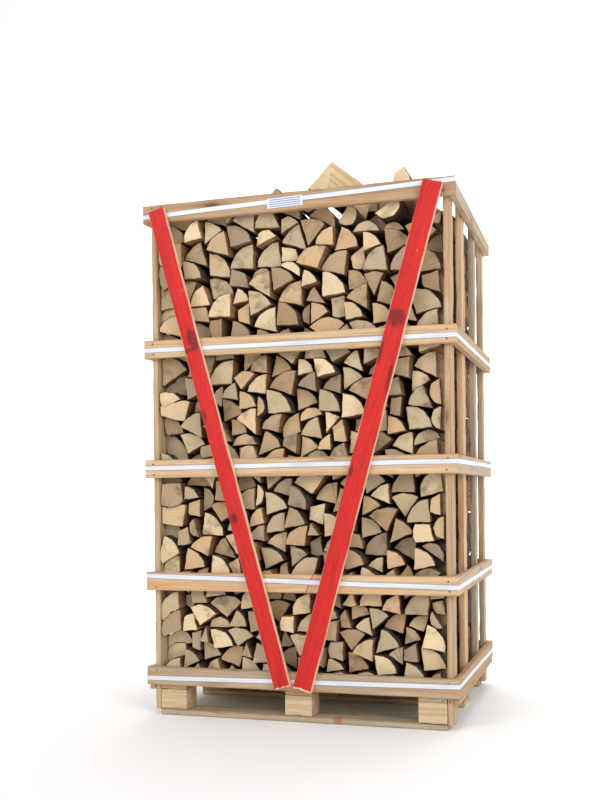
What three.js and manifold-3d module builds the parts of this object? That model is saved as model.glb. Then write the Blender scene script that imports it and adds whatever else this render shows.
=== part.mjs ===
// A pallet of split firewood: a wooden pallet, a crate of posts and rails round the stack, white plastic
// straps, two red slanting boards on the front, and three rows of split logs.
// Millimetres. +X is to the right along the front, +Y to the back, +Z up.
// The origin is on the ground, under the middle of the crate.
import * as THREE from "three";
import { mergeVertices } from "three/addons/utils/BufferGeometryUtils.js";
import Module from "manifold-3d";

const wasm = await Module();
wasm.setup();

// Crate size and boards
const CRATE_WIDTH = 1200;
const CRATE_DEPTH = 1000;
const BOARD = 24;
const RAIL_HEIGHT = 70;
const RAIL_ROWS = [
  { row: "bottom", top: 188, sideHeight: 92 },
  { row: "lower", top: 549, sideHeight: RAIL_HEIGHT },
  { row: "middle", top: 980, sideHeight: RAIL_HEIGHT },
  { row: "upper", top: 1438, sideHeight: RAIL_HEIGHT },
  { row: "top", top: 1956, sideHeight: RAIL_HEIGHT },
];

// Posts stand inside the side rails. The corner posts reach down beside the pallet's blocks.
const POST_TOP = 1950;
const CORNER_POST_FOOT = 20;
const INNER_POST_FOOT = 100;
const POSTS = [
  { front: -476, depth: 86, foot: CORNER_POST_FOOT },
  { front: -192, depth: 88, foot: INNER_POST_FOOT },
  { front: 146, depth: 70, foot: INNER_POST_FOOT },
  { front: 404, depth: 72, foot: CORNER_POST_FOOT },
];

// Pallet
const PALLET_BOARD = 22;
const BLOCK_HEIGHT = 78;
const BLOCK_WIDTH = 104;
const BLOCK_DEPTH = 100;
const MIDDLE_BLOCK_DEPTH = 140;
const DECK_BOARD_DEPTH = 140;
const DECK_BOARDS = 5;

// Straps: the height of the strap's middle above the ground at the front left corner,
// and how far it climbs to the front right corner and to the back
const STRAP_WIDTH = 20;
const STRAP_THICKNESS = 1;
const STRAPS = [
  { row: "bottom", middle: 144, climbRight: 18, climbBack: -14 },
  { row: "lower", middle: 535, climbRight: -26, climbBack: 6 },
  { row: "middle", middle: 948, climbRight: 6, climbBack: 4 },
  { row: "upper", middle: 1399, climbRight: -2, climbBack: 3 },
  { row: "top", middle: 1911, climbRight: 30, climbBack: -6 },
];

// Red boards: the middle of each end, on the front of the rails
const RED_BOARDS = [
  { side: "left", width: 65, top: [-536, 1932], bottom: [-46, 131] },
  { side: "right", width: 72, top: [526, 1938], bottom: [28, 127] },
];
const REST_GAP = 0.3;

// Firewood: three rows, each log lying front to back. Some parts of the stack have a top of their own.
const LOG_LENGTH = 290;
const STACK_HALF_WIDTH = 549;
const STACK_TOP = 1912;
const OTHER_TOPS = [
  { from: -549, to: -200, top: 1958 },
  { from: -200, to: 100, top: 1938 },
  { from: 150, to: 410, top: 1836 },
  { from: 470, to: 549, top: 1850 },
];
const ROW_PITCH = 314;

// The front row's log ends: how far the foremost one stands out, how far behind it the others lie,
// most of them near to it, and how far even the last one stands out from the heart of the row
const END_REACH = 15;
const END_SPREAD = 62;
const END_SPREAD_POWER = 1.7;
const END_RELIEF = 16;
const HEART_INSET = { side: 22, top: 14 };

// The kinds of split logs, with the share of each and the range of each of its measures.
// A round side is the bark. A squared log's upper corners are parts of its width and height.
const LOG_KINDS = [
  { section: wedge, share: 0.36, radius: [76, 112], angle: [62, 98], steps: 3 },
  { section: wedge, share: 0.2, radius: [88, 122], angle: [40, 60], steps: 2 },
  { section: halfLog, share: 0.22, radius: [48, 66], flat: [0, 20], steps: 4 },
  {
    section: squaredLog,
    share: 0.1,
    width: [70, 104],
    height: [50, 78],
    upperRight: [[0.62, 0.96], [0.7, 1.1]],
    upperLeft: [[0.02, 0.32], [0.8, 1.15]],
    lowerRight: [-12, 14],
  },
  { section: triangle, share: 0.12, width: [60, 95], tip: [[12, 72], [42, 70]] },
];

// The logs are smaller at the foot of the stack than at its top
const LOWEST_LOG_SCALE = 0.77;
const HIGHEST_LOG_SCALE = 0.9;

// How the logs are laid: a log is tried in many turns and places, and the best is kept.
// The stack is counted in columns of this width, and so are a slot that no log fits and an outline's steps.
// A log that ends nearer than the side slot to the left posts is widened until it meets them.
const COLUMN = 4;
const NARROW_SLOT = 4;
const OUTLINE_COLUMNS = 12;
const SHAPES_TRIED = 4;
const TURNS_TRIED = 24;
const HEIGHT_COST = 0.006;
const SIZE_GAIN = 0.00008;
const LOG_CLEARANCE = 2;
const SIDE_SLOT = 45;
const SEED = 9;

// Points of an arc round the origin, from one angle to another in degrees
function arc(radius, from, to, steps) {
  return Array.from({ length: steps + 1 }, (_, i) => {
    const angle = THREE.MathUtils.degToRad(from + ((to - from) * i) / steps);
    return [radius * Math.cos(angle), radius * Math.sin(angle)];
  });
}

// Logs that are laid last, three on the front row and three on the middle row: x is where the left side goes
const FRONT_TOP_LOGS = [
  { x: -134, section: [[0, 0], [98, 0], [54, 62]] },
  { x: 157, section: arc(41, 212, 442, 5) },
  { x: 302, section: arc(52, 213, 393, 4) },
];
const MIDDLE_TOP_LOGS = [
  { x: 96, section: [[0, 0], [72, 0], [66, 70], [8, 76]] },
  { x: 170, section: [[0, 0], [74, 0], [60, 78], [12, 72]] },
  { x: 246, section: [[0, 0], [70, 0], [58, 72], [6, 66]] },
];

// Two loose logs on top of all. The big one is placed by the last corner of its section, the highest one,
// at its raised front end. It is turned a little aside.
const BIG_LOG_LENGTH = 256;
const BIG_LOG_SECTION = [[-112, -88], [-8, -112], [0, 0]];
const BIG_LOG_CORNER = [129, -400, 2085];
const BIG_LOG_TURN = -24;
const BIG_LOG_TILT = 14.5;
const SMALL_LOG_SECTION = [[340, 1915], [440, 1915], [403, 2036], [368, 2018]];
const SMALL_LOG_FRONT = -408;
const SMALL_LOG_LENGTH = 262;

const material = (color, roughness) => new THREE.MeshStandardMaterial({ color, roughness, metalness: 0 });
const crateWood = material(0xd9a878, 0.75);
const palletWood = material(0xc7a67c, 0.8);
const redPaint = material(0xd8382f, 0.6);
const strapPlastic = material(0xf1f3f4, 0.35);
const logWood = material(0xcbb083, 0.85);

const part = new THREE.Group();

function add(name, geometry, finish) {
  const mesh = new THREE.Mesh(geometry, finish);
  mesh.name = name;
  part.add(mesh);
  return mesh;
}

function board(name, finish, [x0, x1], [y0, y1], [z0, z1]) {
  const mesh = add(name, new THREE.BoxGeometry(x1 - x0, y1 - y0, z1 - z0), finish);
  mesh.position.set((x0 + x1) / 2, (y0 + y1) / 2, (z0 + z1) / 2);
}

// A band of the given width along a line, lying evenly on both sides of its middle
const around = (middle, width) => [middle - width / 2, middle + width / 2];

const halfWidth = CRATE_WIDTH / 2;
const halfDepth = CRATE_DEPTH / 2;
const palletHalfWidth = halfWidth - 2 * BOARD;
const palletHalfDepth = halfDepth - BOARD;
const blockTop = PALLET_BOARD + BLOCK_HEIGHT;
const deckUnderside = blockTop + PALLET_BOARD;
const deckTop = deckUnderside + PALLET_BOARD;

// Pallet
const blockColumns = [
  { side: "left", x: -palletHalfWidth + BLOCK_WIDTH / 2 },
  { side: "middle", x: 0 },
  { side: "right", x: palletHalfWidth - BLOCK_WIDTH / 2 },
];
const blockRows = [
  { place: "front", y: -palletHalfDepth + BLOCK_DEPTH / 2, depth: BLOCK_DEPTH },
  { place: "middle", y: 0, depth: MIDDLE_BLOCK_DEPTH },
  { place: "back", y: palletHalfDepth - BLOCK_DEPTH / 2, depth: BLOCK_DEPTH },
];
const acrossPallet = [-palletHalfWidth, palletHalfWidth];
for (const { place, y, depth } of blockRows) {
  board(`${place}_bottom_board`, palletWood, acrossPallet, around(y, depth), [0, PALLET_BOARD]);
  for (const { side, x } of blockColumns) {
    const height = [PALLET_BOARD, blockTop];
    board(`${place}_${side}_block`, palletWood, around(x, BLOCK_WIDTH), around(y, depth), height);
  }
}
for (const { side, x } of blockColumns) {
  const along = [-palletHalfDepth, palletHalfDepth];
  board(`${side}_stringer`, palletWood, around(x, BLOCK_WIDTH), along, [blockTop, deckUnderside]);
}
const deckPitch = (2 * palletHalfDepth - DECK_BOARD_DEPTH) / (DECK_BOARDS - 1);
for (let i = 0; i < DECK_BOARDS; i++) {
  const front = -palletHalfDepth + i * deckPitch;
  const along = [front, front + DECK_BOARD_DEPTH];
  board(`deck_board_${i + 1}`, palletWood, acrossPallet, along, [deckUnderside, deckTop]);
}

// Crate
POSTS.forEach(({ front, depth, foot }, i) => {
  const along = [front, front + depth];
  const height = [foot, POST_TOP];
  board(`left_post_${i + 1}`, crateWood, [-palletHalfWidth - BOARD, -palletHalfWidth], along, height);
  board(`right_post_${i + 1}`, crateWood, [palletHalfWidth, palletHalfWidth + BOARD], along, height);
});
for (const { row, top, sideHeight } of RAIL_ROWS) {
  const across = [-halfWidth, halfWidth];
  const along = [-palletHalfDepth, palletHalfDepth];
  const height = [top - RAIL_HEIGHT, top];
  const sides = [top - sideHeight, top];
  board(`${row}_front_rail`, crateWood, across, [-halfDepth, -palletHalfDepth], height);
  board(`${row}_back_rail`, crateWood, across, [palletHalfDepth, halfDepth], height);
  board(`${row}_left_rail`, crateWood, [-halfWidth, -halfWidth + BOARD], along, sides);
  board(`${row}_right_rail`, crateWood, [halfWidth - BOARD, halfWidth], along, sides);
}

// Straps: a flat ring round the rails, sheared so that it climbs as the real one does
function rectangle(x, y) {
  return [[-x, -y], [x, -y], [x, y], [-x, y]].map(([u, v]) => new THREE.Vector2(u, v));
}
for (const { row, middle, climbRight, climbBack } of STRAPS) {
  const ring = new THREE.Shape(rectangle(halfWidth + STRAP_THICKNESS, halfDepth + STRAP_THICKNESS));
  ring.holes.push(new THREE.Path(rectangle(halfWidth, halfDepth)));
  const geometry = new THREE.ExtrudeGeometry(ring, { depth: STRAP_WIDTH, bevelEnabled: false });
  const slopeX = climbRight / CRATE_WIDTH;
  const slopeY = climbBack / CRATE_DEPTH;
  const lift = middle - STRAP_WIDTH / 2 + slopeX * halfWidth + slopeY * halfDepth;
  const shear = new THREE.Matrix4().set(1, 0, 0, 0, 0, 1, 0, 0, slopeX, slopeY, 1, lift, 0, 0, 0, 1);
  geometry.applyMatrix4(shear);
  add(`${row}_strap`, geometry, strapPlastic);
}

// Red boards
for (const { side, width, top, bottom } of RED_BOARDS) {
  const [dx, dz] = [top[0] - bottom[0], top[1] - bottom[1]];
  const geometry = new THREE.BoxGeometry(width, BOARD, Math.hypot(dx, dz));
  const slanted = add(`red_${side}_board`, geometry, redPaint);
  const y = -halfDepth - STRAP_THICKNESS - REST_GAP - BOARD / 2;
  slanted.position.set((top[0] + bottom[0]) / 2, y, (top[1] + bottom[1]) / 2);
  slanted.rotation.y = Math.atan2(dx, dz);
}

// A small common generator of numbers between 0 and 1, the same ones each time for a seed
function seededRandom(seed) {
  let state = seed;
  return () => {
    state = (state + 0x6d2b79f5) | 0;
    let mixed = Math.imul(state ^ (state >>> 15), 1 | state);
    mixed = (mixed + Math.imul(mixed ^ (mixed >>> 7), 61 | mixed)) ^ mixed;
    return ((mixed ^ (mixed >>> 14)) >>> 0) / 2 ** 32;
  };
}

// The sections of split logs. A measure is drawn from its range.
function wedge({ radius, angle, steps }, draw) {
  return [[0, 0], ...arc(draw(radius), 0, draw(angle), steps)];
}

function halfLog({ radius, flat, steps }, draw) {
  const size = draw(radius);
  const start = draw(flat);
  return arc(size, start, 180 - start, steps);
}

function squaredLog({ width, height, upperRight, upperLeft, lowerRight }, draw) {
  const size = [draw(width), draw(height)];
  const cornerAt = (ranges) => ranges.map((range, i) => size[i] * draw(range));
  const [right, left] = [upperRight, upperLeft].map(cornerAt);
  return [[0, 0], [size[0], draw(lowerRight)], right, left];
}

function triangle({ width, tip }, draw) {
  return [[0, 0], [draw(width), 0], tip.map(draw)];
}

function splitLogSection(random) {
  const draw = ([low, high]) => low + (high - low) * random();
  const shareUpTo = (i) => LOG_KINDS.slice(0, i + 1).reduce((sum, { share }) => sum + share, 0);
  const place = random();
  const kind = LOG_KINDS.find((_, i) => place < shareUpTo(i)) ?? LOG_KINDS[0];
  return kind.section(kind, draw);
}

function turned(section, angle) {
  const [c, s] = [Math.cos(angle), Math.sin(angle)];
  return section.map(([x, z]) => [c * x - s * z, s * x + c * z]);
}

function areaOf(section) {
  const twice = section.map(([x, z], i) => {
    const [nextX, nextZ] = section[(i + 1) % section.length];
    return x * nextZ - nextX * z;
  });
  return twice.reduce((sum, value) => sum + value, 0) / 2;
}

// How low and how high a convex section reaches in each column, counted from its left side
function reachOf(section) {
  const left = Math.min(...section.map(([x]) => x));
  const right = Math.max(...section.map(([x]) => x));
  const count = Math.ceil((right - left) / COLUMN);
  const low = new Array(count).fill(Infinity);
  const high = new Array(count).fill(-Infinity);
  const take = (x, z) => {
    const place = (x - left) / COLUMN;
    for (const i of [Math.max(0, Math.ceil(place) - 1), Math.min(count - 1, Math.floor(place))]) {
      low[i] = Math.min(low[i], z);
      high[i] = Math.max(high[i], z);
    }
  };
  section.forEach(([x, z], k) => {
    const [nextX, nextZ] = section[(k + 1) % section.length];
    take(x, z);
    const [from, to] = [Math.min(x, nextX), Math.max(x, nextX)];
    for (let i = Math.ceil((from - left) / COLUMN); left + i * COLUMN < to; i++) {
      const edgeX = left + i * COLUMN;
      take(edgeX, z + ((nextZ - z) * (edgeX - x)) / (nextX - x));
    }
  });
  return { left, low, high };
}

// Whether a section reaches between a place and the left posts
function hides(section, [placeX, placeZ]) {
  return section.some(([x, z], i) => {
    const [nextX, nextZ] = section[(i + 1) % section.length];
    const crosses = (z - placeZ) * (nextZ - placeZ) < 0;
    return crosses && x + ((nextX - x) * (placeZ - z)) / (nextZ - z) < placeX;
  });
}

function convexHull(points) {
  const turnsLeft = ([ax, az], [bx, bz], [cx, cz]) => (bx - ax) * (cz - az) > (bz - az) * (cx - ax);
  const sorted = [...points].sort(([x, z], [otherX, otherZ]) => x - otherX || z - otherZ);
  const halfOf = (places) => {
    const kept = [];
    for (const place of places) {
      while (kept.length > 1 && !turnsLeft(kept.at(-2), kept.at(-1), place)) {
        kept.pop();
      }
      kept.push(place);
    }
    return kept.slice(0, -1);
  };
  return [...halfOf(sorted), ...halfOf(sorted.reverse())];
}

// A stack seen from its end: the sections of its logs, and the height that it has reached in each column
class Stack {
  constructor(otherTops) {
    this.columns = Math.floor((2 * STACK_HALF_WIDTH) / COLUMN);
    this.level = new Array(this.columns).fill(deckTop + LOG_CLEARANCE);
    this.limit = this.level.map((_, i) => {
      const x = -STACK_HALF_WIDTH + i * COLUMN;
      return otherTops.find(({ from, to }) => x >= from && x <= to)?.top ?? STACK_TOP;
    });
    this.logs = [];
  }

  // The height at which a section comes to rest in a column, and the space left empty under it
  rest({ low }, column) {
    let z = -Infinity;
    for (let i = 0; i < low.length; i++) {
      z = Math.max(z, this.level[column + i] - low[i]);
    }
    let empty = 0;
    for (let i = 0; i < low.length; i++) {
      empty += (z + low[i] - this.level[column + i]) * COLUMN;
    }
    return { z, empty };
  }

  fits({ high }, column, z) {
    return high.every((value, i) => z + value <= this.limit[column + i]);
  }

  lay(section, reach, column, z) {
    const dx = -STACK_HALF_WIDTH + column * COLUMN - reach.left;
    this.logs.push(section.map(([x, height]) => [x + dx, height + z]));
    reach.high.forEach((value, i) => {
      this.level[column + i] = z + value + LOG_CLEARANCE;
    });
    this.closeNarrowSlots();
  }

  // A slot too narrow for any log stays empty, so the next logs lie over it
  closeNarrowSlots() {
    const nearby = (i) => Array.from({ length: 2 * NARROW_SLOT + 1 }, (_, k) => i + k - NARROW_SLOT);
    const inside = (i) => i >= 0 && i < this.columns;
    const raised = this.level.map((_, i) => {
      return Math.max(...nearby(i).map((k) => (inside(k) ? this.level[k] : Infinity)));
    });
    this.level = this.level.map((value, i) => {
      const closed = Math.min(...nearby(i).filter(inside).map((k) => raised[k]));
      return Number.isFinite(closed) ? Math.max(value, closed) : value;
    });
  }

  fill(random) {
    for (let best = this.bestNext(random); best; best = this.bestNext(random)) {
      this.lay(best.section, best.reach, best.column, best.z);
    }
    return this;
  }

  // A stack as high as this one, seen from its other end
  turnedRound() {
    const other = new Stack([]);
    other.level = [...this.level].reverse();
    return other;
  }

  bestNext(random) {
    const lowest = Math.min(...this.level);
    const filled = (lowest - deckTop) / (STACK_TOP - deckTop);
    const scale = THREE.MathUtils.lerp(LOWEST_LOG_SCALE, HIGHEST_LOG_SCALE, filled);
    let best = null;
    for (let shape = 0; shape < SHAPES_TRIED; shape++) {
      const plain = splitLogSection(random).map(([x, z]) => [x * scale, z * scale]);
      const area = areaOf(plain);
      const firstTurn = random() * 2 * Math.PI;
      for (let turn = 0; turn < TURNS_TRIED; turn++) {
        const section = turned(plain, firstTurn + (2 * Math.PI * turn) / TURNS_TRIED);
        const reach = reachOf(section);
        const middle = Math.max(...reach.high) / 2;
        for (let column = 0; column + reach.low.length <= this.columns; column++) {
          const { z, empty } = this.rest(reach, column);
          const cost = empty / area + HEIGHT_COST * (z + middle - lowest) - SIZE_GAIN * area;
          if ((!best || cost < best.cost) && this.fits(reach, column, z)) {
            best = { cost, section, reach, column, z };
          }
        }
      }
    }
    return best;
  }

  // Widens the logs beside the left posts until they meet them, each up to halfway to its neighbours
  closeLeftSide() {
    const leftmost = (log) => log.reduce((best, corner) => (corner[0] < best[0] ? corner : best));
    const border = -STACK_HALF_WIDTH;
    const beside = this.logs
      .map((log, index) => ({ index, corner: leftmost(log) }))
      .filter(({ corner }) => corner[0] < border + SIDE_SLOT && !this.logs.some((log) => hides(log, corner)))
      .sort((log, other) => log.corner[1] - other.corner[1]);
    beside.forEach(({ index, corner: [, z] }, i) => {
      const low = i > 0 ? (beside[i - 1].corner[1] + z + LOG_CLEARANCE) / 2 : deckTop + LOG_CLEARANCE;
      const high = i + 1 < beside.length ? (beside[i + 1].corner[1] + z - LOG_CLEARANCE) / 2 : z;
      this.logs[index] = convexHull([...this.logs[index], [border, low], [border, high]]);
    });
  }

  // A log laid by hand on the finished stack
  top(section, x) {
    const reach = reachOf(section);
    const column = Math.round((x + STACK_HALF_WIDTH) / COLUMN);
    this.lay(section, reach, column, this.rest(reach, column).z);
  }
}

// A solid that has the outline, in x and z, from one depth to another
function upright(outline, front, back) {
  const shape = new THREE.Shape(outline.map(([x, z]) => new THREE.Vector2(x, z)));
  const geometry = new THREE.ExtrudeGeometry(shape, { depth: back - front, bevelEnabled: false });
  return geometry.applyMatrix4(new THREE.Matrix4().set(1, 0, 0, 0, 0, 0, -1, back, 0, 1, 0, 0, 0, 0, 0, 1));
}

function solidOf(geometry) {
  geometry.deleteAttribute("normal");
  geometry.deleteAttribute("uv");
  const { attributes, index } = mergeVertices(geometry);
  const triVerts = new Uint32Array(index.array);
  const vertProperties = attributes.position.array;
  return new wasm.Manifold(new wasm.Mesh({ numProp: 3, vertProperties, triVerts }));
}

function geometryOf(solid) {
  const { vertProperties, triVerts } = solid.getMesh();
  const geometry = new THREE.BufferGeometry();
  geometry.setAttribute("position", new THREE.BufferAttribute(vertProperties, 3));
  geometry.setIndex(new THREE.BufferAttribute(triVerts, 1));
  return geometry;
}

// The outline of a stack, from the height that it has near each place on its top
function stackOutline(level, half, heightOf) {
  const outline = [[-half, deckTop + REST_GAP], [half, deckTop + REST_GAP]];
  const count = Math.floor(level.length / OUTLINE_COLUMNS);
  for (let i = 0; i <= count; i++) {
    const x = half - (2 * half * i) / count;
    const column = Math.round((x + STACK_HALF_WIDTH) / COLUMN);
    const first = Math.max(0, column - OUTLINE_COLUMNS / 2);
    outline.push([x, heightOf(level.slice(first, column + OUTLINE_COLUMNS / 2))]);
  }
  return outline;
}

// The front row: a heart a little inside the logs, from which each log's end stands out by its own amount
function frontRow({ logs, level }, random) {
  const average = (near) => near.reduce((sum, value) => sum + value, 0) / near.length;
  const lowered = (near) => average(near) - HEART_INSET.top;
  const outline = stackOutline(level, STACK_HALF_WIDTH - HEART_INSET.side, lowered);
  const foremost = -ROW_PITCH - LOG_LENGTH / 2 - END_REACH;
  const back = -ROW_PITCH + LOG_LENGTH / 2;
  let solid = solidOf(upright(outline, foremost + END_SPREAD + END_RELIEF, back));
  for (const section of logs) {
    const front = foremost + END_SPREAD * random() ** END_SPREAD_POWER;
    solid = solid.add(solidOf(upright(section, front, back - REST_GAP)));
  }
  return geometryOf(solid);
}

const random = seededRandom(SEED);
const stack = new Stack(OTHER_TOPS).fill(random);
const backLevel = [...stack.level];
const middleStack = stack.turnedRound();
FRONT_TOP_LOGS.forEach(({ x, section }) => stack.top(section, x));
MIDDLE_TOP_LOGS.forEach(({ x, section }) => middleStack.top(section, x));
stack.closeLeftSide();
add("firewood_front_row", frontRow(stack, random), logWood);

// The middle and back rows are laid as the front row is, the middle one turned round.
// Each is one plain solid that reaches as high as its logs.
const highest = (near) => Math.max(...near);
for (const [name, middle, level] of [
  ["firewood_middle_row", 0, middleStack.level],
  ["firewood_back_row", ROW_PITCH, backLevel],
]) {
  const outline = stackOutline(level, STACK_HALF_WIDTH, highest);
  add(name, upright(outline, middle - LOG_LENGTH / 2, middle + LOG_LENGTH / 2), logWood);
}

// Loose logs
const bigLog = add("big_top_log", upright(BIG_LOG_SECTION, 0, BIG_LOG_LENGTH), logWood);
const { degToRad } = THREE.MathUtils;
bigLog.rotation.set(degToRad(-BIG_LOG_TILT), 0, degToRad(BIG_LOG_TURN), "ZYX");
const [cornerX, cornerZ] = BIG_LOG_SECTION.at(-1);
const cornerOffset = new THREE.Vector3(cornerX, 0, cornerZ).applyEuler(bigLog.rotation);
bigLog.position.set(...BIG_LOG_CORNER).sub(cornerOffset);

const smallLogBack = SMALL_LOG_FRONT + SMALL_LOG_LENGTH;
add("small_top_log", upright(SMALL_LOG_SECTION, SMALL_LOG_FRONT, smallLogBack), logWood);

export default part;
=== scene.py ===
"""The looks of a crate of firewood on a pallet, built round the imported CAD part. Lengths in millimetres."""

import math

import bpy
import numpy as np
from mathutils import Matrix, Vector


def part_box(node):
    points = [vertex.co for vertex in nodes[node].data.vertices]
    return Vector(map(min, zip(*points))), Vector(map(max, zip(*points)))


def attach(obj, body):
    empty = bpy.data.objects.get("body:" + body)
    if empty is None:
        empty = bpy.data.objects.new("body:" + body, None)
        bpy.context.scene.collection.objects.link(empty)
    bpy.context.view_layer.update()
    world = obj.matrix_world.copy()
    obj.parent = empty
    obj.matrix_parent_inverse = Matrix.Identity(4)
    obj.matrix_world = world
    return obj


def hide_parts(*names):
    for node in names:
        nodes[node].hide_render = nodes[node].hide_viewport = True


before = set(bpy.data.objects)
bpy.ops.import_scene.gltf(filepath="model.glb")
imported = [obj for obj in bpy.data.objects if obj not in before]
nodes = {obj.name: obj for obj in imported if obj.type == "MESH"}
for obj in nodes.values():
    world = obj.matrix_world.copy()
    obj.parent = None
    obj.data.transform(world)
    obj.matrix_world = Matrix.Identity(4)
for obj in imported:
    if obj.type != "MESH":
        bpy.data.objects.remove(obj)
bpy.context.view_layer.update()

MM = 0.001
SEED = 20

# The camera, fitted to the photo: its place, its turn about the upright and its roll in degrees, its lens
CAMERA_PLACE = (1133, -4085, 845)
CAMERA_TURN = 17.22
CAMERA_ROLL = -0.57
CAMERA_LENS = 46.08
CAMERA_SHIFT = 0.117
CAMERA_SENSOR = 36

# Boards: how far apart their points are along and across, and how far their edges are cut and worn
BOARD_STEP = 45
BOARD_FACE_STEP = 20
EDGE_WEAR = 1.6
LEAST_WEAR = 0.25
WEAR_LENGTHS = ((90, 700), (37, 260))
WEAR_SIZES = (1, 0.6)

# A log's outline: how far apart its places are, its cut corners, how much smaller than its solid it is,
# the inner angle from which a corner is bark's, how far bark bulges, how often a log without such a corner
# has bark, and how far outside its sharpest corner the pith may be
OUTLINE_STEP = 11
CORNER_CUT = 2.2
LOG_SHRINK = 1.2
BARK_ANGLE = 126
BARK_RADIUS = 80
MOST_SAG = 9
BARK_CHANCE = 0.7
PITH_OUTSIDE = 0.8
LOG_SHARP = 38

# A log's uneven sides, bow, taper, and how its ends lean
ROUGH_LENGTHS = ((88, 420), (41, 190), (19, 90))
ROUGH_SIZES = (0.8, 0.6, 0.45)
BARK_ROUGHNESS = 1.5
BOW = 3
TAPER = 0.05
END_ROUNDING = 1.1
NEAR_END_LEAN = 0.055
FAR_END_LEAN = 0.035

# A log's end: how far behind it the first ring of points is, and the first of the even ones from the near and
# the far end. Then, for each ring on the end itself, how wide it is, how near the rim, and how uneven
END_RIM = 1.2
EVEN_FROM_NEAR = 14
EVEN_FROM_FAR = 8
END_LAYERS = ((0.965, 0.5, 0), (0.55, 0.0, 0.35))

# The three rows: half a row's depth, how far apart the rows are, where the front and back rows end inside,
# how much shorter a log may be, and how far in the ends of the back and the middle row may lie
ROW_HALF = 145
ROW_PITCH = 314
LOG_ENDS = 169
MIDDLE_LOG_ENDS = 143
SHORTER_BY = 6
BACK_SPREAD = 45
MIDDLE_SPREAD = 20

# Log ends in the front row's solid: the depth that they all lie past, and how level such a face is
END_FACES_PAST = 400
SAME_DEPTH = 0.02

# How high the stack is between some places, logs laid on top of it left out
OTHER_TOPS = ((-560, -200, 1960), (-200, 100, 1940), (150, 410, 1838), (470, 560, 1852))

# The middle row's own logs on top: how far left each one is, and its section from there
MIDDLE_TOP_LOGS = (
    (96, ((0, 0), (72, 0), (66, 70), (8, 76))),
    (170, ((0, 0), (74, 0), (60, 78), (12, 72))),
    (246, ((0, 0), (70, 0), (58, 72), (6, 66))),
)

END, SPLIT, BARK = range(3)

random = np.random.default_rng(SEED)


# Small tools for shader nodes


def linear(red, green, blue):
    """A colour as it looks on a screen, 0 to 255, as the light it stands for."""
    parts = [value / 255 for value in (red, green, blue)]
    return [p / 12.92 if p <= 0.04045 else ((p + 0.055) / 1.055) ** 2.4 for p in parts] + [1]


class Finish:
    """A node material under construction."""

    def __init__(self, name):
        self.material = bpy.data.materials.new(name)
        self.material.use_nodes = True
        self.tree = self.material.node_tree
        self.tree.nodes.clear()
        output = self.tree.nodes.new("ShaderNodeOutputMaterial")
        self.shader = self.tree.nodes.new("ShaderNodeBsdfPrincipled")
        self.tree.links.new(self.shader.outputs[0], output.inputs[0])

    def feed(self, socket, value):
        if isinstance(value, bpy.types.NodeSocket):
            self.tree.links.new(value, socket)
        elif value is not None:
            socket.default_value = value

    def node(self, kind, inputs, **settings):
        made = self.tree.nodes.new("ShaderNode" + kind)
        for key, value in settings.items():
            setattr(made, key, value)
        for key, value in inputs.items():
            self.feed(made.inputs[key], value)
        return made

    def attribute(self, name):
        return self.node("Attribute", {}, attribute_name=name).outputs

    def math(self, operation, a, b=None):
        inputs = {i: value for i, value in enumerate((a, b)) if value is not None}
        return self.node("Math", inputs, operation=operation).outputs[0]

    def times(self, a, b):
        return self.math("MULTIPLY", a, b)

    def plus(self, a, b):
        return self.math("ADD", a, b)

    def less(self, a, b):
        return self.math("SUBTRACT", a, b)

    def vector(self, operation, a, b=None):
        inputs = {i: value for i, value in enumerate((a, b)) if value is not None}
        made = self.node("VectorMath", inputs, operation=operation)
        return made.outputs["Value"] if operation == "LENGTH" else made.outputs["Vector"]

    def stretched(self, place, factors):
        return self.vector("MULTIPLY", place, factors)

    def moved_by(self, place, tone, factors):
        """The place moved by a piece's own tone, so that no two pieces have the same pattern."""
        return self.vector("ADD", place, self.stretched(tone, factors))

    def split(self, vector):
        return self.node("SeparateXYZ", {0: vector}).outputs

    def join(self, x, y, z):
        return self.node("CombineXYZ", {0: x, 1: y, 2: z}).outputs[0]

    def noise(self, vector, scale, detail=3, roughness=0.55, distortion=0):
        inputs = {
            "Vector": vector,
            "Scale": scale,
            "Detail": detail,
            "Roughness": roughness,
            "Distortion": distortion,
        }
        return self.node("TexNoise", inputs).outputs[0]

    def bands(self, place, scale, detail=2):
        inputs = {"W": place, "Scale": scale, "Detail": detail}
        return self.node("TexNoise", inputs, noise_dimensions="1D").outputs[0]

    def spread(self, value, low, high, to_low=0.0, to_high=1.0):
        inputs = {0: value, 1: low, 2: high, 3: to_low, 4: to_high}
        return self.node("MapRange", inputs, interpolation_type="SMOOTHSTEP").outputs[0]

    def mix(self, factor, a, b, blend="MIX"):
        made = self.node("Mix", {0: factor}, data_type="RGBA", blend_type=blend)
        self.feed(made.inputs[6], a)
        self.feed(made.inputs[7], b)
        return made.outputs[2]

    def tint(self, colour, other, where, amount):
        """The colour with another one laid over it, where and as much as told."""
        return self.mix(self.times(where, amount), colour, other)

    def bright(self, colour, amount):
        """The colour times a grey amount."""
        return self.mix(1.0, colour, self.join(amount, amount, amount), "MULTIPLY")

    def bump(self, height, strength, distance):
        made = self.node("Bump", {"Height": height, "Strength": strength, "Distance": distance * MM})
        self.feed(self.shader.inputs["Normal"], made.outputs[0])

    def done(self, colour, roughness):
        self.feed(self.shader.inputs["Base Color"], colour)
        self.feed(self.shader.inputs["Roughness"], roughness)
        return self.material


# How far the patterns of two pieces are moved apart
GRAIN_MOVES = (31, 17, 23)
LOG_MOVES = (41, 29, 37)


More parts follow.
